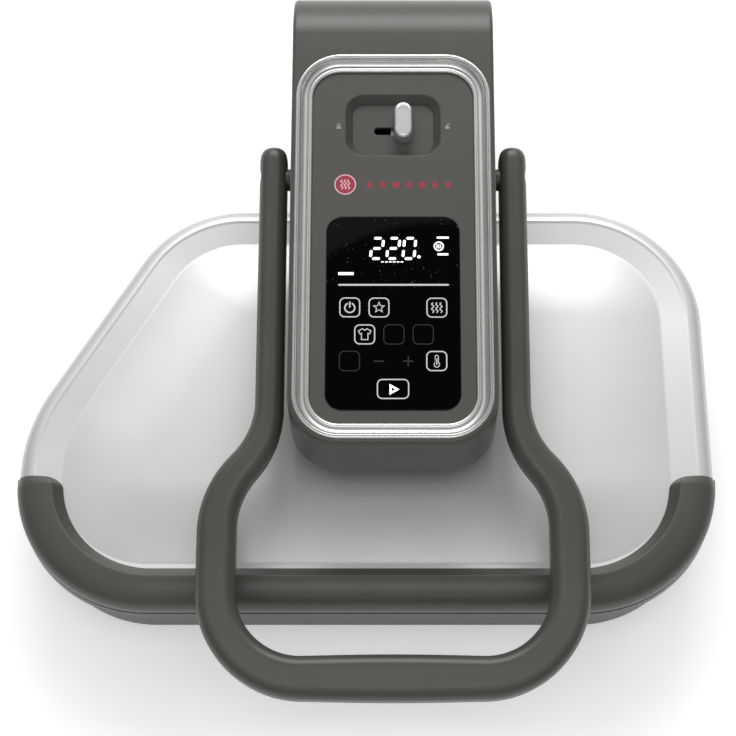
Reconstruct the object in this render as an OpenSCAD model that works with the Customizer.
// Steam and heat press: padded base board, hinged head with a pressing plate, pull-down handle.
// Working frame: X across the press, +Y towards the hinge, +Z up. Y = 0 is the plate's rear edge and
// X = 0 is the middle of the head. row_frame() moves all of it onto the centre of the overall box.

/* [Pressing plate] */
// Reach of the plate to the square end, from the middle of the head
plate_right = 235; // [200:1:280]
// Reach of the plate to the tapered end
plate_left = 274; // [240:1:330]
// Depth of the plate, rear edge to front edge
plate_depth = 323; // [290:1:380]
// Where the tapered side would meet the rear edge
taper_start = 168; // [150:1:190]
// Angle of the tapered side from the rear edge
taper_angle = 60; // [50:1:70]
// Corner radius at the square rear corner
square_corner_r = 96; // [60:1:110]
// Corner radius where the taper leaves the rear edge
taper_corner_r = 90; // [60:1:110]
// Corner radius where the taper meets the side
nose_corner_r = 130; // [100:1:150]
// Radius of both front corners
front_corner_r = 98; // [70:1:110]
// Thickness of the cast heating plate
sole_t = 9; // [6:0.5:14]
// Wall of the moulded plate cover
cover_wall = 3; // [2:0.5:4]
// Rise of the cover's outer band
band_rise = 9.5; // [5:0.5:12]
// Width of the cover's outer band
band_w = 12; // [8:0.5:16]
// Fall of the sunk ledge inside the band
ledge_drop = 2; // [0:0.5:3]
// Width of the inner band
ledge_w = 19.5; // [14:0.5:26]
// Crown of the cover's middle
crown_rise = 6; // [3:0.5:9]
// How far the guard stands out from the cover
guard_out = 1.5; // [1:0.25:4]
// Width of the guard's front strip
guard_front_w = 29; // [24:1:36]
// Width of the guard at its ends
guard_side_w = 35; // [30:1:42]

/* [Base] */
// How far the base stands in from the plate's edge
base_inset = 8; // [5:1:16]
// Height of the rubber feet
foot_h = 8; // [5:1:14]
// Radius of the rubber feet
foot_r = 13; // [10:1:16]
// Height of the base tray
tray_h = 32; // [26:1:46]
// Wall of the base tray
tray_wall = 3; // [2:0.5:4]
// Thickness of the base board
board_t = 3; // [2:0.5:5]
// Thickness of the foam pad
foam_t = 10; // [6:1:16]
// Thickness of the pad's cloth cover
cloth_t = 1.5; // [1:0.25:2.5]

/* [Head] */
// Width of the head and neck
head_w = 147.5; // [140:0.5:165]
// Y of the head's front face
head_front = -234.5; // [-245:0.5:-230]
// Height of the head's underside above the floor
head_under_z = 118; // [116:1:122]
// Height of the deck at the front face
deck_front_z = 170; // [169:1:180]
// Slope of the deck, up towards the rear
deck_slope = 8.5; // [8:0.5:9]
// Radius of the head's front corners in plan
head_corner_r = 36; // [25:1:45]
// Radius where the deck rolls over into the neck
roll_r = 44; // [36:1:46]
// Wall of the housing
shell = 3; // [2:0.5:3.5]
// Radius of the neck around the hinge
neck_r = 48; // [47:0.5:52]
// Y of the hinge axis
hinge_y = 75.5; // [70:0.5:85]
// Height of the hinge axis
hinge_z = 57; // [56:0.5:60]
// Radius of the hinge shaft
hinge_shaft_r = 8; // [6:0.5:10]
// How far the head opens
open_angle = 50; // [30:1:50]

/* [Deck] */
// Step from the housing's edge to the trim
trim_edge = 3.25; // [2:0.25:6]
// Width of the metal trim
trim_w = 12.2; // [8:0.2:16]
// Depth of the face below the deck's edge
face_sink = 5.8; // [3:0.2:8]
// Strip of face between the control glass and the trim, each side
glass_side = 10.8; // [6:0.2:16]
// Length of the control glass
glass_l = 144; // [110:1:150]
// Width of the lock recess
recess_w = 68; // [56:1:80]
// Length of the lock recess
recess_l = 47; // [40:1:52]
// Depth of the lock recess
recess_d = 6.5; // [4:0.5:8]
// Travel of the lock lever
lock_travel = 15; // [12:0.5:16]
// Play between the lock's dog and its tongue
lock_play = 1; // [0.8:0.1:1.5]

/* [Handle] */
// Y of the handle's pivot
pin_y = -25; // [-30:1:-22]
// Height of the handle's pivot
pin_z = 170; // [168:1:172]
// Radius of the handle's cross shaft
pin_r = 8; // [6:0.5:9]
// Gap between the head and the handle's arms
arm_gap = 3.7; // [2:0.1:6]
// Width of the arms
arm_w = 20; // [16:1:26]
// Width of the loop's sides
loop_w = 27.4; // [22:0.2:34]
// Width of the front grip
grip_w = 30; // [24:1:36]
// Thickness of the handle
handle_t = 26; // [20:1:32]
// Overall width of the loop
loop_span = 272; // [250:1:300]
// Length of the handle, pivot to the front of the grip
handle_reach = 379; // [360:1:400]
// Outer radius of the loop's corners
loop_corner_r = 75; // [55:1:85]
// Height that the eccentrics lift the plate
plate_lift = 5; // [3:0.5:5]
// How far the handle lifts
handle_angle = 40; // [30:1:40]

/* [Hidden] */

$fn = 64;
fit = 0.05;      // radial clearance of a running fit
gap = 0.5;       // clearance between pieces that pass each other
far = 1000;      // longer than the press, for cuts that run right through

rib_t = 3;

// Heights of the closed press, from the floor up
tray_top = foot_h + tray_h;
board_top = tray_top + board_t;
foam_top = board_top + foam_t;
cloth_top = foam_top + cloth_t;
sole_bottom = cloth_top + gap;
sole_top = sole_bottom + sole_t;
cover_bottom = sole_bottom + 5;
band_bottom = cover_bottom + 16;
band_top = band_bottom + band_rise;
ledge_top = band_top - ledge_drop;
crown_top = ledge_top + crown_rise;
guard_top = band_top + 6;

// Head
half_w = head_w / 2;
neck_back = hinge_y + neck_r;
neck_front = hinge_y - neck_r;
function deck_z(y) = deck_front_z + (y - head_front) * tan(deck_slope);
roll_y = neck_back - roll_r;
roll_z = deck_z(roll_y) - roll_r / cos(deck_slope);
arm_plate_x = half_w - 13.75;   // inner face of the steel side plates
arm_plate_t = 4;
drum_r = neck_r - shell - 1.5;  // hinge block's barrel, inside the neck
drum_half = arm_plate_x - 8;
skirt_angle = 70 - open_angle;   // how far the back wraps under the hinge axis, as the opening allows

// Deck, in its own plane: s = 0 at the head's front face, up the slope
trim_half = half_w - trim_edge;
trim_r = head_corner_r - trim_edge;
trim_front = 3.5;
trim_back = 293.5;
face_half = trim_half - trim_w;
glass_w = 2 * (face_half - glass_side);
face_front = trim_front + trim_w;
face_back = trim_back - trim_w;
face_r = trim_r - trim_w;
face_t = 3;
glass_front = 25;
glass_r = 12;
glass_t = 2;
recess_mid = 240;
recess_wall = 5.6;
recess_r = 13;
slot_mid = recess_mid - 2;
slot_w = 6;
slot_len = lock_travel + 12.6;   // the lever's travel, its stem and room at both ends
lever_w = 13.4;
lever_len = 28;
lever_h = 13;
lever_x = 7.4;
lever_ahead = 4;

// Handle plane: s = 0 on the pivot, +s towards the rear
arm_x = half_w + arm_gap + arm_w / 2;
side_x = loop_span / 2 - loop_w / 2;
grip_s = -(handle_reach - grip_w / 2);
corner_r = loop_corner_r - grip_w / 2;
bend_end = -262;                // where the outward bend ends
bend_run = 90;                  // length of the outward bend
bend_out = side_x - arm_x;
bend_angle = 2 * atan(bend_out / bend_run);
bend_r = bend_run / (2 * sin(bend_angle));
tip_s = 24;                     // length of the arms behind the pivot
seam = 0.1;                     // gap between the handle's two shells
handle_edge = 9;                // rounding of the handle's section
grip_bulge = 2;                 // extra width in the middle of the grip
handle_front_y = pin_y - (handle_reach + grip_bulge / 2) * cos(deck_slope)
    - (handle_t / 2 - handle_edge) * sin(deck_slope);

// Pressing mechanism
throw = plate_lift / (2 * sin(handle_angle / 2));   // eccentricity of the two cams
cam_r = 20;
cam_t = 12;
cam_x = arm_plate_x - 29;
crosshead_top = pin_z - cam_r - plate_lift / 2 - 0.1;
crosshead_t = 5;
guide_plate_z = crosshead_top - 17.4;
guide_plate_t = 4;
post_r = 6;
post_x = arm_plate_x - 18;
post_front = -196;
post_back = -40;
bridge_z = sole_top + 13;
bridge_t = 3;
collar_half = half_w - 17.75;
collar_front = -216;
collar_back = -24;
collar_wall = 2.5;
collar_r = 12;
collar_top = head_under_z + 5;
dog_x = -8;
dog_len = 15;
dog_lean = 75;                  // the dog's angle from the rearward direction

// Tank cap, behind the neck
cap_gap = 0.4;
cap_t = 5;
cap_bar = 4;                    // height of its finger bar

// Feet, in the working frame
foot_places = [[-205, -262], [172, -262], [-150, -62], [172, -70], [14 - drum_half, 94], [drum_half - 14, 94]];

// Overall box, so that the origin stands under its middle
centre_x = (plate_right - plate_left) / 2;
centre_y = (neck_back + cap_gap + cap_t + cap_bar + handle_front_y) / 2;

grey = [0.32, 0.33, 0.31];
dark = [0.2, 0.2, 0.19];
white = [0.93, 0.93, 0.92];
steel = [0.62, 0.63, 0.65];
silver = [0.78, 0.78, 0.78];
brass = [0.75, 0.6, 0.3];
rubber = [0.12, 0.12, 0.12];
board_green = [0.1, 0.35, 0.2];

// ---------- geometry helpers ----------
function unit(v) = v / norm(v);
function cross2(a, b) = a[0] * b[1] - a[1] * b[0];

// Points of one rounded corner b between its neighbours a and c
function corner(a, b, c, r) =
    let (u = unit([a[0] - b[0], a[1] - b[1]]), w = unit([c[0] - b[0], c[1] - b[1]]),
         half = acos(u * w) / 2, start = [b[0], b[1]] + u * r / tan(half),
         centre = [b[0], b[1]] + unit(u + w) * r / sin(half),
         from = atan2(start[1] - centre[1], start[0] - centre[0]),
         turn = (180 - 2 * half) * (cross2(u, w) < 0 ? 1 : -1),
         steps = max(2, ceil(abs(turn) / 6)))
    [for (i = [0:steps]) centre + r * [cos(from + turn * i / steps), sin(from + turn * i / steps)]];

// Outline with rounded corners, from a list of [x, y, radius]
function rounded(p) = let (n = len(p))
    [for (i = [0:n - 1]) each p[i][2] <= 0 ? [[p[i][0], p[i][1]]]
        : corner(p[(i + n - 1) % n], p[i], p[(i + 1) % n], p[i][2])];

// A counter-clockwise convex outline moved in by d, with its radii to match
function inset(p, d) = let (n = len(p))
    [for (i = [0:n - 1]) let (
        a = p[(i + n - 1) % n], b = p[i], c = p[(i + 1) % n],
        u = unit([b[0] - a[0], b[1] - a[1]]), w = unit([c[0] - b[0], c[1] - b[1]]),
        nu = [-u[1], u[0]], nw = [-w[1], w[0]], k = d / (1 + nu * nw))
        [b[0] + (nu + nw)[0] * k, b[1] + (nu + nw)[1] * k, max(b[2] - d, 0.5)]];

function box_outline(w, l, r) = [[w / 2, l / 2, r], [-w / 2, l / 2, r], [-w / 2, -l / 2, r],
    [w / 2, -l / 2, r]];

module slab(outline, z0, z1) {
    translate([0, 0, z0]) linear_extrude(z1 - z0) polygon(rounded(outline));
}

// A closed skin through rings of points, all with the same number of points
module skin(rings) {
    n = len(rings[0]);
    m = len(rings);
    polyhedron(
        points = [for (r = rings) each r],
        faces = concat(
            [[for (i = [0:n - 1]) n - 1 - i]],
            [for (j = [0:m - 2]) for (i = [0:n - 1])
                [j * n + i, j * n + (i + 1) % n, (j + 1) * n + (i + 1) % n, (j + 1) * n + i]],
            [[for (i = [0:n - 1]) (m - 1) * n + i]]));
}

// Ring of a round tube at p, looking along t
function tube_ring(p, t, r, sides) =
    let (side = unit(cross(t, abs(t[2]) > 0.9 * norm(t) ? [0, 1, 0] : [0, 0, 1])),
        up = unit(cross(side, t)))
    [for (i = [0:sides - 1]) p + r * (cos(360 * i / sides) * side + sin(360 * i / sides) * up)];

module tube(path, r, sides = 8) {
    n = len(path);
    skin([for (i = [0:n - 1]) tube_ring(path[i], path[min(i + 1, n - 1)] - path[max(i - 1, 0)], r,
        sides)]);
}

// Coil spring standing on z0
module coil(r, wire, z0, z1, turns) {
    steps = 12 * turns;
    rings = [for (i = [0:steps]) let (a = 360 * i / 12,
        z = z0 + wire + (z1 - z0 - 2 * wire) * i / steps,
        out = [cos(a), sin(a), 0])
        [for (k = [0:5]) [0, 0, z] + out * (r + wire * cos(60 * k)) + [0, 0, wire * sin(60 * k)]]];
    skin(rings);
}

module row_frame() {
    translate([-centre_x, -centre_y, 0]) children();
}

module rod_x(x0, x1, y, z, r) {
    translate([x0, y, z]) rotate([0, 90, 0]) cylinder(r = r, h = x1 - x0);
}

// Extrudes a (y, z) outline across the press
module across(x0, x1) {
    translate([x0, 0, 0]) rotate([90, 0, 90]) linear_extrude(x1 - x0) children();
}

module deck_frame() {
    translate([0, head_front, deck_front_z]) rotate([deck_slope, 0, 0]) children();
}

module handle_frame() {
    translate([0, pin_y, pin_z]) rotate([deck_slope, 0, 0]) children();
}

module mirrored() {
    children();
    mirror([1, 0, 0]) children();
}

// ---------- outlines ----------
taper_drop = (plate_left - taper_start) * tan(taper_angle);
left_side = plate_depth - taper_drop;
nose_r = min(nose_corner_r, 0.27 * left_side / tan((90 - taper_angle) / 2));
front_r = min(front_corner_r, 0.72 * left_side);
plate_corners = [[plate_right, 0, square_corner_r], [-taper_start, 0, taper_corner_r],
    [-plate_left, -taper_drop, nose_r], [-plate_left, -plate_depth, front_r],
    [plate_right, -plate_depth, front_r]];
base_corners = inset(plate_corners, base_inset);

// Side view of the head and neck, moved in by d; the underside stays open to "under"
function side_view(d, under) = let (
    a0 = 90 + deck_slope, r = roll_r - d, top = deck_front_z - d / cos(deck_slope)
        + d * tan(deck_slope))
    concat([[head_front + d, under], [head_front + d, top]],
        [for (i = [0:14]) let (a = a0 * (1 - i / 14)) [roll_y + r * cos(a), roll_z + r * sin(a)]],
        [for (i = [0:20]) let (a = -180 * i / 20) [hinge_y + (neck_r - d) * cos(a),
            hinge_z + (neck_r - d) * sin(a)]],
        [[neck_front + d, under]]);

function head_plan(d) = [[half_w - d, neck_back + 20, 0], [-half_w + d, neck_back + 20, 0],
    [-half_w + d, head_front + d, head_corner_r - d], [half_w - d, head_front + d, head_corner_r - d]];

function trim_outline(d) = let (w = trim_half - d, a = trim_front + d, b = trim_back - d)
    [[w, b, trim_r - d], [-w, b, trim_r - d], [-w, a, trim_r - d], [w, a, trim_r - d]];

// ---------- base ----------
module base_tray() {
    color(grey) difference() {
        slab(base_corners, foot_h, tray_top);
        slab(inset(base_corners, tray_wall), foot_h + tray_wall, tray_top + 1);
        for (p = foot_places) translate([p[0], p[1], 0]) cylinder(r = 2.5, h = tray_top / 2);
        // doorway for the hinge block
        translate([-drum_half, -base_inset - 20, foot_h + tray_wall]) cube([2 * drum_half, 40, tray_h]);
    }
    // ribs under the board
    color(grey) for (x = [-150, -75, 75, 150])
        translate([x - rib_t / 2, -plate_depth + base_inset + 12, foot_h + tray_wall / 2])
            cube([rib_t, plate_depth - 2 * base_inset - 90, tray_h - tray_wall / 2 - 0.2]);
}

module base_board() {
    holes_x = [-200:50:150];
    holes_y = [-280:40:-80];
    color(steel) difference() {
        slab(inset(base_corners, cloth_t + 0.2), tray_top, board_top);
        for (x = holes_x) for (y = holes_y) translate([x, y, tray_top - 1])
            cylinder(r = 4, h = board_t + 2);
    }
}

module foam_pad() {
    color([0.85, 0.8, 0.6]) slab(inset(base_corners, cloth_t + 0.2), board_top, foam_top);
}

module pad_cover() {
    color([0.75, 0.76, 0.76]) difference() {
        slab(base_corners, tray_top + 0.2, cloth_top);
        slab(inset(base_corners, cloth_t), tray_top - 1, foam_top);
    }
}

module foot(i) {
    p = foot_places[i];
    color(rubber) translate([p[0], p[1], 0]) {
        cylinder(r1 = foot_r - 1.5, r2 = foot_r, h = 2);
        translate([0, 0, 2]) cylinder(r = foot_r, h = foot_h - 2);
        translate([0, 0, foot_h]) cylinder(r = 2.5 - 0.1, h = tray_wall);
    }
}

// Barrel on the base that carries the head, with its tongue into the tray
module hinge_block() {
    plate_under = foot_h + 2.5;
    color(grey) difference() {
        union() {
            rod_x(-drum_half, drum_half, hinge_y, hinge_z, drum_r);
            translate([-drum_half + gap, -base_inset - tray_wall - 20, foot_h + tray_wall])
                cube([2 * (drum_half - gap), hinge_y + base_inset + tray_wall + 20,
                    hinge_z - 8 - foot_h - tray_wall]);
            translate([-drum_half, 8, foot_h])
                cube([2 * drum_half, neck_back - 20, plate_under - foot_h]);
            translate([-drum_half, 8, foot_h]) cube([2 * drum_half, hinge_y - 8, 12]);
        }
        // the tongue lies under the base board
        translate([-drum_half - 1, -far, tray_top - gap])
            cube([2 * drum_half + 2, far + base_inset - 2, far]);
        rod_x(-drum_half + 6, drum_half - 6, hinge_y, hinge_z, drum_r - 5);
        rod_x(-far, far, hinge_y, hinge_z, hinge_shaft_r + 3);
        for (i = [4, 5]) translate([foot_places[i][0], foot_places[i][1], 0])
            cylinder(r = 2.5, h = foot_h + 6);
    }
}

module hinge_bushes() {
    color(brass) mirrored() difference() {
        union() {
            rod_x(drum_half - 6, drum_half, hinge_y, hinge_z, hinge_shaft_r + 3);
            rod_x(drum_half, drum_half + 1.5, hinge_y, hinge_z, hinge_shaft_r + 6);
        }
        rod_x(-far, far, hinge_y, hinge_z, hinge_shaft_r + fit);
    }
}

// Two counterbalance springs, wound round the hinge shaft inside the barrel
module torsion_springs() {
    mid = (drum_half - 4) / 2;
    color(steel) for (side = [-1, 1]) translate([side * mid, hinge_y, hinge_z]) rotate([0, 90, 0])
        coil(hinge_shaft_r + 9, 2.2, 7 - mid, mid - 7, 6);
}

module base_screws() {
    color(steel) for (p = [[-230, -200], [-120, -298], [0, -298], [110, -298], [205, -180], [60, -25],
        [-100, -25]])
        translate([p[0], p[1], foot_h - 1.6]) difference() {
            cylinder(r = 4, h = 1.6);
            translate([0, 0, -0.1]) cylinder(r = 1.6, h = 1, $fn = 6);
        }
}

// ---------- head ----------
// Steel side plate: a disc round the hinge, an upright in the neck and an arm along the head
module arm_plate() {
    arm_top = crosshead_top + 8;
    color(steel) difference() {
        union() {
            rod_x(0, arm_plate_t, hinge_y, hinge_z, neck_r - 8);
            across(0, arm_plate_t) polygon([[hinge_y - 36, hinge_z], [hinge_y + 36, hinge_z],
                [hinge_y + 36, 150], [hinge_y + 10, 172], [pin_y - 22, pin_z + 16],
                    [pin_y - 40, arm_top],
                [head_front + 30, arm_top], [head_front + 18, arm_top - 10],
                    [head_front + 18, head_under_z + 6],
                [hinge_y - 36, head_under_z + 6]]);
        }
        rod_x(-1, arm_plate_t + 1, hinge_y, hinge_z, hinge_shaft_r + 0.02);
        rod_x(-1, arm_plate_t + 1, pin_y, pin_z, pin_r + 2);
        for (p = spacer_places) rod_x(-1, arm_plate_t + 1, p[0], p[1], 3);
        // lightening holes
        for (y = [-190, -150, -110]) rod_x(-1, arm_plate_t + 1, y, 140, 9);
    }
}

spacer_r = 5;
spacer_places = [[head_front + 24.5, 146], [hinge_y, hinge_z + drum_r + spacer_r + 1.5],
    [hinge_y - 10, 164]];

module arm_spacers() {
    color(steel) for (p = spacer_places) {
        rod_x(-arm_plate_x, arm_plate_x, p[0], p[1], spacer_r);
        mirrored() rod_x(arm_plate_x, arm_plate_x + arm_plate_t + 3, p[0], p[1], 3 - 0.02);
    }
}

module hinge_shaft() {
    color(silver) rod_x(-half_w + shell + 1, half_w - shell - 1, hinge_y, hinge_z, hinge_shaft_r);
}

module hinge_caps() {
    color(dark) mirrored() {
        rod_x(half_w, half_w + 2, hinge_y, hinge_z, 16);
        rod_x(half_w - shell, half_w, hinge_y, hinge_z, 11.9);
    }
}

module housing() {
    color(grey) difference() {
        intersection() {
            across(-half_w, half_w) polygon(side_view(0, head_under_z));
            slab(head_plan(0), 0, far);
        }
        // hollow inside, open below and through the neck's front
        intersection() {
            across(-half_w + shell, half_w - shell) polygon(side_view(shell, head_under_z));
            slab(head_plan(shell), 0, far);
        }
        translate([-half_w + shell, head_front + shell, head_under_z - 1])
            cube([2 * (half_w - shell), neck_front - head_front, shell + 1]);
        translate([-half_w + shell, neck_front - 1, 0])
            cube([2 * (half_w - shell), shell + 2, far / 8]);
        // the back wraps only a little way under the hinge
        across(-half_w + shell, half_w - shell) polygon([[hinge_y, hinge_z],
            [hinge_y + far * cos(skirt_angle), hinge_z - far * sin(skirt_angle)], [hinge_y, -far],
            [hinge_y - far, -far], [hinge_y - far, hinge_z]]);
        deck_frame() slab(trim_outline(0), -20, 20);
        rod_x(-far, far, pin_y, pin_z, pin_r + 0.6);
        rod_x(-far, far, hinge_y, hinge_z, 12);
        translate([0, neck_back, gland_z]) rotate([90, 0, 0])
            cylinder(r = gland_r, h = 20, center = true);
        translate([filler_x, neck_back, filler_z]) rotate([90, 0, 0])
            cylinder(r = filler_r + 3.4, h = 20, center = true);
    }
    // screw bosses
    color(grey) for (p = boss_places) translate([p[0], p[1], head_under_z + shell]) difference() {
        cylinder(r = 3.5, h = 12);
        translate([0, 0, -1]) cylinder(r = 1.5, h = 11);
    }
}

boss_x = half_w - shell - 2.6;
boss_places = [[-boss_x, -190], [boss_x, -190], [-boss_x, -60], [boss_x, -60]];

module underside_cover() {
    color(dark) difference() {
        union() {
            intersection() {
                slab(head_plan(shell + 0.3), head_under_z, head_under_z + shell);
                translate([-far, head_front, 0]) cube([2 * far, neck_front - head_front, far]);
            }
            translate([-half_w + shell + 0.3, neck_front, hinge_z + 8])
                cube([2 * (half_w - shell - 0.3), shell, head_under_z - hinge_z - 8 + shell]);
        }
        translate([0, (collar_front + collar_back) / 2, 0])
            slab(box_outline(2 * collar_half + 2, collar_back - collar_front + 2, collar_r + 1), 0,
                far);
        for (p = boss_places) translate([p[0], p[1], 0]) cylinder(r = 1.8, h = far);
    }
}

// The face inside the trim, with the lock recess pressed into it
module deck_fascia() {
    color(grey) deck_frame() difference() {
        union() {
            slab([[face_half, face_back, face_r], [-face_half, face_back, face_r],
                [-face_half, face_front, face_r], [face_half, face_front, face_r]],
                    -face_sink - face_t, -face_sink);
            translate([0, recess_mid, 0])
                slab(box_outline(recess_w + 3, recess_l + 3, recess_r + 1.5),
                    -face_sink - recess_d - face_t, -face_sink - 1);
        }
        // recess with sloping walls
        translate([0, recess_mid, 0]) hull() {
            slab(box_outline(recess_w, recess_l, recess_r), -face_sink, -face_sink + 1);
            slab(box_outline(recess_w - 2 * recess_wall, recess_l - 2 * recess_wall, recess_r - 5),
                -face_sink - recess_d, -face_sink - recess_d + 0.1);
        }
        translate([0, slot_mid, -20]) linear_extrude(40) square([slot_len, slot_w], center = true);
        // seat of the control glass
        translate([0, glass_front + glass_l / 2, 0])
            slab(box_outline(glass_w + 0.4, glass_l + 0.4, glass_r), -face_sink - glass_t - 0.05, 1);
        translate([0, glass_front + glass_l / 2, 0])
            slab(box_outline(glass_w - 8, glass_l - 8, glass_r - 4), -20, 1);
    }
}

module deck_trim() {
    color(silver) deck_frame() difference() {
        slab(trim_outline(0.1), -face_sink - face_t, 1.2);
        // concave channel between an outer and an inner ridge
        hull() {
            slab(trim_outline(3.2), 1.1, 2);
            slab(trim_outline(trim_w - 3.6), -face_sink + 1.2, -face_sink + 1.3);
        }
        slab(trim_outline(trim_w - 3.6), -face_sink + 1.2, 2);
        slab(trim_outline(trim_w), -20, 20);
    }
}

module panel_glass() {
    color([0.03, 0.03, 0.035]) deck_frame() translate([0, glass_front + glass_l / 2, 0])
        slab(box_outline(glass_w, glass_l, glass_r), -face_sink - glass_t, -face_sink + 0.3);
}

// Touch and display board, close under the glass
module control_board() {
    deck_frame() translate([0, glass_front + glass_l / 2, -face_sink - face_t - 4]) {
        color(board_green) translate([5.5 - glass_w / 2, -62, -1.6]) cube([glass_w - 11, 124, 1.6]);
        color([0.05, 0.05, 0.05]) translate([-30, 20, 0]) cube([60, 34, 4.7]);
        color(dark) translate([-12, -40, 0]) cube([12, 12, 1.6]);
        color(white) translate([20, -55, 0]) cube([14, 6, 4]);
    }
}

module power_board() {
    z = head_under_z + shell + 5;
    half = arm_plate_x - 10;
    color(board_green) translate([-half, -14, z]) cube([2 * half, 29, 1.6]);
    color(dark) translate([6 - half, -10, z + 1.6]) cube([20, 16, 16]);
    color(white) translate([-18, -10, z + 1.6]) cube([24, 22, 18]);
    color(silver) for (i = [0:5]) translate([14 + 4 * i, -10, z + 1.6]) cube([1.5, 22, 20]);
    color(silver) translate([14, -10, z + 1.6]) cube([21.5, 22, 2]);
    color(steel) for (x = [4 - half, half - 4]) for (y = [-10, 11]) translate([x, y, head_under_z + shell])
        cylinder(r = 2, h = 5);
}

tank_bottom = hinge_z + drum_r + 2 * spacer_r + 3.5;
tank_top = 157;
pump_x = arm_plate_x - 22;
tank_w = pump_x + arm_plate_x - 26;      // from the left side plate to the pump, with room at both
tank_mid = 6 - arm_plate_x + tank_w / 2;
filler_x = tank_mid;
filler_z = (tank_bottom + tank_top) / 2 + 5;
filler_r = 11;
tank_front = neck_front + 12;
tank_back = neck_back - 12;

module water_tank() {
    color([0.7, 0.8, 0.88, 0.6]) difference() {
        union() {
            translate([tank_mid, (tank_front + tank_back) / 2, 0])
                slab(box_outline(tank_w, tank_back - tank_front, 8), tank_bottom, tank_top);
            translate([filler_x, tank_back - 1, filler_z]) rotate([-90, 0, 0])
                cylinder(r = filler_r + 3, h = 13 + shell - 4);
        }
        translate([tank_mid, (tank_front + tank_back) / 2, 0])
            slab(box_outline(tank_w - 4, tank_back - tank_front - 4, 6), tank_bottom + 2, tank_top - 2);
        translate([filler_x, tank_back - 10, filler_z]) rotate([-90, 0, 0])
            cylinder(r = filler_r, h = 40);
    }
}

// Bayonet cap of the tank's filler, on the back of the neck
module tank_cap() {
    color(dark) {
        translate([filler_x, neck_back + cap_gap, filler_z]) rotate([-90, 0, 0]) difference() {
            cylinder(r = filler_r + 6, h = cap_t);
            for (a = [0:30:330]) rotate(a) translate([filler_r + 6.6, 0, -1]) cylinder(r = 1.6, h = 8);
        }
        translate([filler_x, tank_back + 2, filler_z]) rotate([-90, 0, 0])
            cylinder(r = filler_r - 0.4, h = neck_back + cap_gap - tank_back - 2);
        translate([filler_x - 2.5, neck_back + cap_gap + cap_t, filler_z - filler_r])
            cube([5, cap_bar, 2 * filler_r]);
    }
}

pump_z = 132;
module water_pump() {
    color(dark) translate([pump_x, tank_front + 2, pump_z]) rotate([-90, 0, 0])
        cylinder(r = 14, h = 44);
    color(white) translate([pump_x, tank_front - 6, pump_z]) rotate([-90, 0, 0]) cylinder(r = 9, h = 8);
    color(brass) translate([pump_x, tank_front - 12, pump_z]) rotate([-90, 0, 0])
        cylinder(r = 2.4, h = 6);
}

hose_x = 12;
hose_y = -110;
module water_hose() {
    color([0.9, 0.9, 0.88]) tube(rounded3([[pump_x, tank_front - 12.3, pump_z], [pump_x, 20, pump_z],
        [pump_x, 20, 157.2], [hose_x, 0, 157.2], [hose_x, -70, 157.2], [hose_x, hose_y, 157.2],
        [hose_x, hose_y, guide_plate_z + guide_plate_t + 0.8]]), 3, 8);
}

// A polyline in space with its corners blended by short curves
function rounded3(p) = [for (i = [0:len(p) - 1]) each (i == 0 || i == len(p) - 1) ? [p[i]]
    : let (a = (p[i - 1] + p[i]) / 2, c = (p[i + 1] + p[i]) / 2, b = p[i])
      [for (t = [0:0.2:0.8]) (1 - t) * (1 - t) * a + 2 * t * (1 - t) * b + t * t * c]];

module wiring_loom() {
    color([0.75, 0.15, 0.12]) for (k = [0:2])
        tube(rounded3([[-14 + 6 * k, -10.3, 138], [-16 + 4 * k, -40, 138], [-16 + 4 * k, -80, 138],
        [-16 + 4 * k, hose_y, 138], [-16 + 4 * k, hose_y, guide_plate_z + guide_plate_t + 0.3]]), 1.3,
            6);
}

// Fixed cross plate that guides the four posts
module guide_plate() {
    color(steel) difference() {
        translate([-arm_plate_x, post_front - 16, guide_plate_z])
            cube([2 * arm_plate_x, post_back - post_front + 32, guide_plate_t]);
        for (x = [-post_x, post_x]) for (y = [post_front, post_back])
            translate([x, y, guide_plate_z - 1]) cylinder(r = post_r + 2, h = guide_plate_t + 2);
        translate([hose_x, hose_y, guide_plate_z - 1]) cylinder(r = 4, h = guide_plate_t + 2);
        translate([-12, hose_y, guide_plate_z - 1]) cylinder(r = 8, h = guide_plate_t + 2);
    }
}

module guide_bushes() {
    color(brass) for (x = [-post_x, post_x]) for (y = [post_front, post_back])
        translate([x, y, guide_plate_z - 3]) difference() {
            union() {
                cylinder(r = post_r + 2, h = guide_plate_t + 3);
                cylinder(r = post_r + 4, h = 3);
            }
            translate([0, 0, -1]) cylinder(r = post_r + fit, h = guide_plate_t + 6);
        }
}

module shaft_bushes() {
    color(brass) mirrored() difference() {
        union() {
            rod_x(arm_plate_x, arm_plate_x + arm_plate_t, pin_y, pin_z, pin_r + 2);
            rod_x(arm_plate_x - 2, arm_plate_x, pin_y, pin_z, pin_r + 5);
        }
        rod_x(-far, far, pin_y, pin_z, pin_r + fit);
    }
}

gland_r = 9;
gland_bore_r = 4.2;
gland_z = 100;
module cord_gland() {
    color(rubber) translate([0, neck_back, gland_z]) rotate([-90, 0, 0]) difference() {
        union() {
            translate([0, 0, -shell - 3]) cylinder(r = gland_r + 3, h = 3);
            translate([0, 0, -shell]) cylinder(r = gland_r, h = shell);
            cylinder(r = gland_r + 3, h = 6);
        }
        translate([0, 0, -20]) cylinder(r = gland_bore_r, h = 40);
    }
}

module housing_screws() {
    color(steel) for (p = boss_places) translate([p[0], p[1], head_under_z - 1.6]) {
        difference() {
            cylinder(r = 3.2, h = 1.6);
            translate([0, 0, -0.1]) cylinder(r = 1.3, h = 1, $fn = 6);
        }
        cylinder(r = 1.45, h = 12);
    }
}

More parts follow.
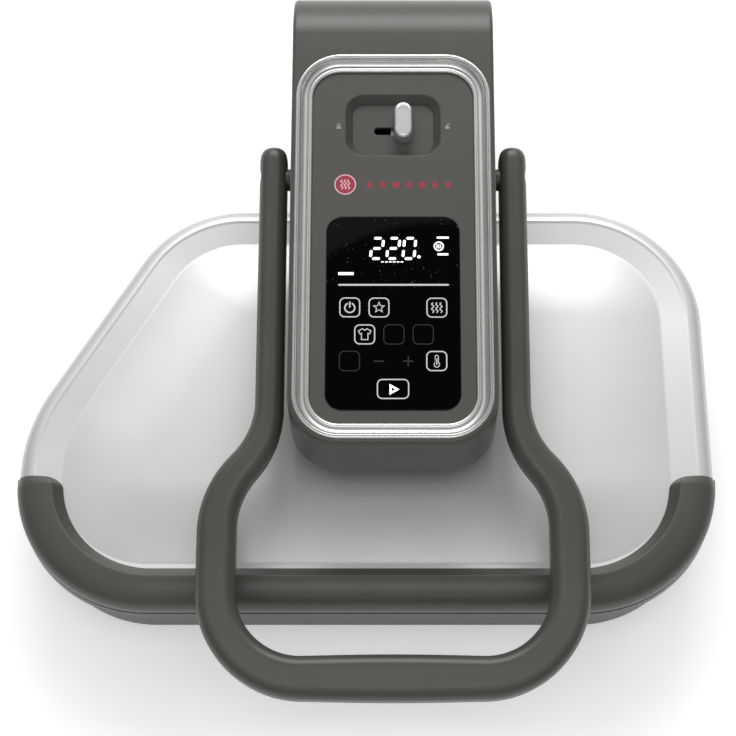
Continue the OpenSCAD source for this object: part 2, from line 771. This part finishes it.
// ---------- handle ----------
// Centre line of the right half, from the arm's tip to the middle of the grip, as [x, s, width]
straight_end = bend_end + bend_run;
handle_line = concat(
    [[arm_x, tip_s, arm_w * 0.62], [arm_x, tip_s - 2, arm_w * 0.82], [arm_x, tip_s - 6, arm_w * 0.95],
     [arm_x, tip_s - 12, arm_w], [arm_x, -60, arm_w], [arm_x, straight_end + 1, arm_w]],
    [for (i = [0:6]) let (a = bend_angle * i / 6)
        [arm_x + bend_r * (1 - cos(a)), straight_end - bend_r * sin(a),
            arm_w + (loop_w - arm_w) * i / 12]],
    [for (i = [5:-1:0]) let (a = bend_angle * i / 6)
        [side_x - bend_r * (1 - cos(a)), bend_end + bend_r * sin(a),
            arm_w + (loop_w - arm_w) * (12 - i) / 12]],
    [[side_x, grip_s + corner_r + 1, loop_w]],
    [for (i = [0:9]) let (a = 90 * i / 9)
        [side_x - corner_r * (1 - cos(a)), grip_s + corner_r * (1 - sin(a)),
            loop_w + (grip_w - loop_w) * i / 9]],
    [[(side_x - corner_r) / 2, grip_s, grip_w + 0.5]], [[0, grip_s, grip_w + grip_bulge]]);
full_line = concat([for (p = handle_line) [p[0], p[1], p[2]]],
    [for (i = [len(handle_line) - 2:-1:0]) [-handle_line[i][0], handle_line[i][1], handle_line[i][2]]]);

// One ring of a half shell: out along the seam, over the rounded back and in again
function half_ring(i, side) = let (
    n = len(full_line), p = full_line[i], q = full_line[min(i + 1, n - 1)],
        o = full_line[max(i - 1, 0)],
    along = unit([q[0] - o[0], q[1] - o[1]]), out = [along[1], -along[0]], w = p[2] / 2,
    ends = min(1, (i == 0 || i == n - 1) ? 0.55 : (i == 1 || i == n - 2) ? 0.8 : 1),
        h = handle_t / 2 * ends,
    e = min(handle_edge, w - 1, h))
    concat([[p[0] + out[0] * w, p[1] + out[1] * w, side * seam / 2]],
        [for (a = [0:22.5:90]) let (u = w - e + e * cos(a)) [p[0] + out[0] * u, p[1] + out[1] * u,
            side * (h - e + e * sin(a))]],
        [for (a = [90:22.5:180]) let (u = -w + e + e * cos(a)) [p[0] + out[0] * u, p[1] + out[1] * u,
            side * (h - e + e * sin(a))]],
        [[p[0] - out[0] * w, p[1] - out[1] * w, side * seam / 2]]);
function reversed(v) = [for (i = [len(v) - 1:-1:0]) v[i]];

module handle_half(side) {
    color(grey) handle_frame() difference() {
        skin([for (i = [0:len(full_line) - 1]) side > 0 ? half_ring(i,
            1) : reversed(half_ring(i, -1))]);
        rod_x(-far, far, 0, 0, pin_r + 0.02);
        if (side < 0) mirrored() grip_pad_cut(0.1);
    }
}

// Soft pad let into the front of the lower shell, where the grip meets the corner
module grip_pad_cut(room) {
    translate([side_x - corner_r - 6, grip_s - grip_w / 2 - 3, -handle_t / 2 + 4])
        cube([36, 6 + room, 5]);
}

module grip_pads() {
    color(dark) handle_frame() intersection() {
        mirrored() grip_pad_cut(-0.1);
        skin([for (i = [0:len(full_line) - 1]) reversed(half_ring(i, -1))]);
    }
}

module handle_shaft() {
    color(steel) rod_x(-arm_x - arm_w / 2 + 3, arm_x + arm_w / 2 - 3, pin_y, pin_z, pin_r);
}

// Eccentric that presses the plate down as the handle comes down
module cam() {
    lean = 180 + handle_angle / 2;
    color(steel) difference() {
        union() {
            // only the lower half of the eccentric disc, which is all that ever bears
            intersection() {
                rod_x(-cam_t / 2, cam_t / 2, pin_y + throw * cos(lean), pin_z + throw * sin(lean),
                    cam_r);
                translate([-cam_t, pin_y - 2 * cam_r, pin_z - 4 - 2 * cam_r])
                    cube([2 * cam_t, 4 * cam_r, 2 * cam_r]);
            }
            rod_x(-cam_t / 2 - 3, cam_t / 2 + 3, pin_y, pin_z, pin_r + 3);
        }
        rod_x(-far, far, pin_y, pin_z, pin_r + 0.02);
    }
}

// Dog on the shaft that the lock tongue drops behind
module lock_dog() {
    color(steel) difference() {
        union() {
            rod_x(dog_x - 4, dog_x + 4, pin_y, pin_z, pin_r + 3);
            translate([dog_x - 3.5, pin_y, pin_z]) rotate([dog_lean, 0, 0])
                translate([0, pin_r / 2, -3])
                cube([7, dog_len - pin_r / 2, 6]);
        }
        rod_x(-far, far, pin_y, pin_z, pin_r + 0.02);
    }
}

module lock_lever() {
    floor_n = -face_sink - recess_d;
    color(silver) deck_frame() translate([lever_x, slot_mid + lever_ahead, 0]) {
        translate([0, 0, floor_n + 0.4]) {
            for (s = [-1, 1]) translate([0, s * (lever_len / 2 - lever_w / 2), 0])
                cylinder(r = lever_w / 2, h = lever_h);
            translate([-lever_w / 2, -(lever_len - lever_w) / 2, 0])
                cube([lever_w, lever_len - lever_w, lever_h]);
        }
        translate([-2.5, -lever_ahead - 2.5, floor_n - face_t - 1]) cube([5, 5, face_t + 1.5]);
    }
}

// Slide plate under the recess, with the tongue that moves in behind the dog
module lock_tongue() {
    plate_n = -face_sink - recess_d - face_t - 0.6;
    // where the dog's rear corner comes, measured along the deck
    corner_y = pin_y + dog_len * cos(dog_lean) + 3 * sin(dog_lean);
    corner_z = pin_z + dog_len * sin(dog_lean) - 3 * cos(dog_lean);
    tongue_s = (corner_y - head_front) * cos(deck_slope) + (corner_z - deck_front_z) * sin(deck_slope)
        + lock_play;
    color(steel) deck_frame() {
        translate([lever_x - 9, tongue_s - 0.4, plate_n - 2]) difference() {
            cube([18, slot_mid + 8 - tongue_s, 2]);
            translate([9 - 2.6, slot_mid - 2.6 - tongue_s + 0.4, -1]) cube([5.2, 5.2, 4]);
        }
        translate([lever_x - 5, tongue_s, plate_n - 5.1]) cube([10, 3, 4]);
    }
}

// ---------- pressing plate ----------
module soleplate() {
    color(silver) slab(inset(plate_corners, 10), sole_bottom, sole_top);
}

// Cover's tiers as [inset, height]; d moves them in and down to the inner face
function cover_tiers(d) = [[d, cover_bottom - (d > 0 ? 1 : 0)], [d, band_bottom - d / 3],
    [band_w + d / 2, band_top - d], [band_w + ledge_w + d / 3, ledge_top - d],
    [band_w + ledge_w + 25, (ledge_top + crown_top) / 2 - d], [band_w + ledge_w + 55, crown_top - d]];

module cover_solid(d) {
    skin([for (q = cover_tiers(d))
        [for (p = reversed(rounded(inset(plate_corners, q[0])))) [p[0], p[1], q[1]]]]);
}

module platen_cover() {
    color(white) difference() {
        cover_solid(0);
        cover_solid(cover_wall);
        translate([0, (collar_front + collar_back) / 2, 0])
            slab(box_outline(2 * collar_half + 0.6, collar_back - collar_front + 0.6, collar_r + 0.3),
                0, far);
    }
}

// Cool-touch guard: a bull-nosed channel wrapped round the plate's front edge
guard_end = -plate_depth + front_r + 1;
guard_lip = cover_bottom + 10;
function guard_profile(w) = let (g = guard_out, c = 0.45,
    under = band_top + (ledge_top - band_top) * (w - g - band_w) / ledge_w + c)
    [[-g, cover_bottom], [-g, guard_lip], [-g * 0.5, guard_lip + 0.2], [-g * 0.5, guard_lip + 1.4],
     [-g, guard_lip + 1.6], [-g, band_bottom + 1], [-g + 1.2, band_bottom + 5],
     [-g + 4, band_bottom + 9], [-g + 9, guard_top - 2.5], [-g + 16, guard_top - 0.3],
     [-g + 20, guard_top], [w - g - 8, guard_top - 0.2], [w - g, under + 0.6], [w - g, under],
     [band_w, band_top + c], [-c, band_bottom], [-c, cover_bottom]];

// Points of the plate's outline moved in by d: up one side, round the front and back up the other
function front_path(d) = let (o = inset(plate_corners, d))
    concat([[o[3][0], guard_end]], corner(o[2], o[3], o[4], o[3][2]), corner(o[3], o[4], o[0], o[4][2]),
        [[o[4][0], guard_end]]);

module front_guard() {
    n = len(front_path(0));
    half = (n - 2) / 2;
    // the guard narrows from its ends to its front strip
    function width(i) = let (k = min(1, max(0, min(i - 1, n - 2 - i) / (half - 1))))
        guard_side_w + (guard_front_w - guard_side_w) * k;
    color(grey) skin([for (i = [0:n - 1]) [for (q = guard_profile(width(i))) let (p = front_path(q[0])[i])
        [p[0], p[1], q[1]]]]);
}

element_path = let (c = rounded(inset(plate_corners, 55)),
    n = len(c)) [for (i = [0:n - 1]) [c[i][0], c[i][1], sole_top + 3.2]];
module heating_element() {
    n = len(element_path);
    start = 8;
    color(steel) tube([for (i = [start:n - 2]) element_path[i]], 3, 8);
}

module insulation_mat() {
    color([0.85, 0.83, 0.75]) difference() {
        slab(inset(plate_corners, 16), sole_top + 7, sole_top + 11);
        translate([-20, hose_y - 34, 0]) cube([64, 68, far]);
        for (p = pillar_places) translate([p[0], p[1], 0]) cylinder(r = 7, h = far);
        translate([thermostat_x, thermostat_y, 0]) cylinder(r = 11, h = far);
        translate([thermostat_x - 50, thermostat_y, 0]) cylinder(r = 9, h = far);
    }
}

module steam_chamber() {
    color([0.7, 0.7, 0.72]) translate([hose_x, hose_y, 0]) {
        slab(box_outline(56, 56, 8), sole_top, sole_top + 12);
        translate([0, 0, sole_top + 12]) cylinder(r = 5, h = 4);
    }
}

thermostat_x = -120;
thermostat_y = -150;
module thermostat() {
    color(white) translate([thermostat_x, thermostat_y, sole_top]) {
        cylinder(r = 8.5, h = 9);
        translate([-12, -3, 0]) cube([24, 6, 1.2]);
        for (x = [-4, 4]) translate([x - 1, -0.4, 9]) cube([2, 0.8, 5]);
    }
}

module thermal_fuse() {
    color(silver) translate([thermostat_x - 50, thermostat_y, sole_top]) {
        cylinder(r = 6, h = 5);
        translate([0, 0, 5]) cylinder(r = 2.5, h = 4);
    }
}

pillar_places = [for (x = [-post_x, post_x]) for (y = [post_front - 20,
    post_back + 2]) [x + (x > 0 ? 14 : -14), y]];
// Steel plate on four pillars, which spreads the posts' force over the heating plate
module platen_bridge() {
    color(steel) {
        difference() {
            translate([-66, post_front - 28, bridge_z])
                cube([132, post_back - post_front + 50, bridge_t]);
            for (x = [-post_x, post_x]) for (y = [post_front, post_back])
                translate([x, y, bridge_z - 1]) cylinder(r = post_r - 2, h = bridge_t + 2);
            translate([hose_x, hose_y, bridge_z - 1]) cylinder(r = 12, h = bridge_t + 2);
        }
        for (p = pillar_places) translate([p[0], p[1], sole_top])
            cylinder(r = 5, h = bridge_z - sole_top);
    }
}

module guide_posts() {
    color(silver) for (x = [-post_x, post_x]) for (y = [post_front, post_back]) translate([x, y, 0]) {
        translate([0, 0, bridge_z]) cylinder(r = post_r - 2.02, h = bridge_t);
        translate([0, 0, bridge_z + bridge_t])
            cylinder(r = post_r, h = crosshead_top - crosshead_t - bridge_z - bridge_t);
        translate([0, 0, crosshead_top - crosshead_t]) cylinder(r = post_r - 2.02, h = crosshead_t);
    }
}

// Frame on the posts; the two eccentrics bear on its rear member
module crosshead() {
    z = crosshead_top - crosshead_t;
    rail = 16;
    color(steel) difference() {
        translate([-post_x - rail / 2, post_front - rail / 2, z])
            cube([2 * post_x + rail, post_back - post_front + rail + 6, crosshead_t]);
        translate([-post_x + rail / 2, post_front + rail / 2, z - 1])
            cube([2 * post_x - rail, post_back - post_front - rail - 4, crosshead_t + 2]);
        for (x = [-post_x, post_x]) for (y = [post_front, post_back])
            translate([x, y, z - 1]) cylinder(r = post_r - 2, h = crosshead_t + 2);
    }
}

// Collar that closes the gap between plate and head, and slides up inside the head
module plate_collar() {
    color(dark) translate([0, (collar_front + collar_back) / 2, 0]) difference() {
        slab(box_outline(2 * collar_half, collar_back - collar_front, collar_r), bridge_z + bridge_t,
            collar_top);
        slab(box_outline(2 * collar_half - 2 * collar_wall,
            collar_back - collar_front - 2 * collar_wall, collar_r - collar_wall),
            0, far);
    }
}

module return_springs() {
    color(silver) for (x = [-post_x, post_x]) for (y = [post_front, post_back]) translate([x, y, 0])
        coil(post_r + 2.2, 0.9, guide_plate_z + guide_plate_t + 0.1,
            crosshead_top - crosshead_t - 0.1, 3);
}

module steam_hose() {
    color([0.9, 0.9, 0.88]) difference() {
        translate([hose_x, hose_y, sole_top + 16])
            cylinder(r = 3.5, h = guide_plate_z + guide_plate_t - sole_top - 16);
        translate([hose_x, hose_y, 0]) cylinder(r = 2, h = far);
    }
}

row_frame() {
    base_tray();
    base_board();
    foam_pad();
    pad_cover();
    foot(0);  // foot_front_left
    foot(1);  // foot_front_right
    foot(2);  // foot_side_left
    foot(3);  // foot_side_right
    foot(4);  // foot_heel_left
    foot(5);  // foot_heel_right
    hinge_block();
    hinge_bushes();
    torsion_springs();
    base_screws();
    mirror([1, 0, 0])  // arm_plate_left
        translate([arm_plate_x, 0, 0]) arm_plate();
    translate([arm_plate_x, 0, 0]) arm_plate();  // arm_plate_right
    arm_spacers();
    hinge_shaft();
    hinge_caps();
    housing();
    underside_cover();
    deck_fascia();
    deck_trim();
    panel_glass();
    control_board();
    power_board();
    water_tank();
    water_pump();
    water_hose();
    wiring_loom();
    guide_plate();
    guide_bushes();
    shaft_bushes();
    cord_gland();
    housing_screws();
    handle_half(1);  // handle_upper_shell
    handle_half(-1);  // handle_lower_shell
    grip_pads();
    handle_shaft();
    translate([-cam_x, 0, 0]) cam();  // cam_left
    translate([cam_x, 0, 0]) cam();  // cam_right
    lock_dog();
    platen_cover();
    front_guard();
    soleplate();
    heating_element();
    insulation_mat();
    steam_chamber();
    thermostat();
    thermal_fuse();
    platen_bridge();
    guide_posts();
    crosshead();
    plate_collar();
    return_springs();
    steam_hose();
    lock_lever();
    lock_tongue();
    tank_cap();
}
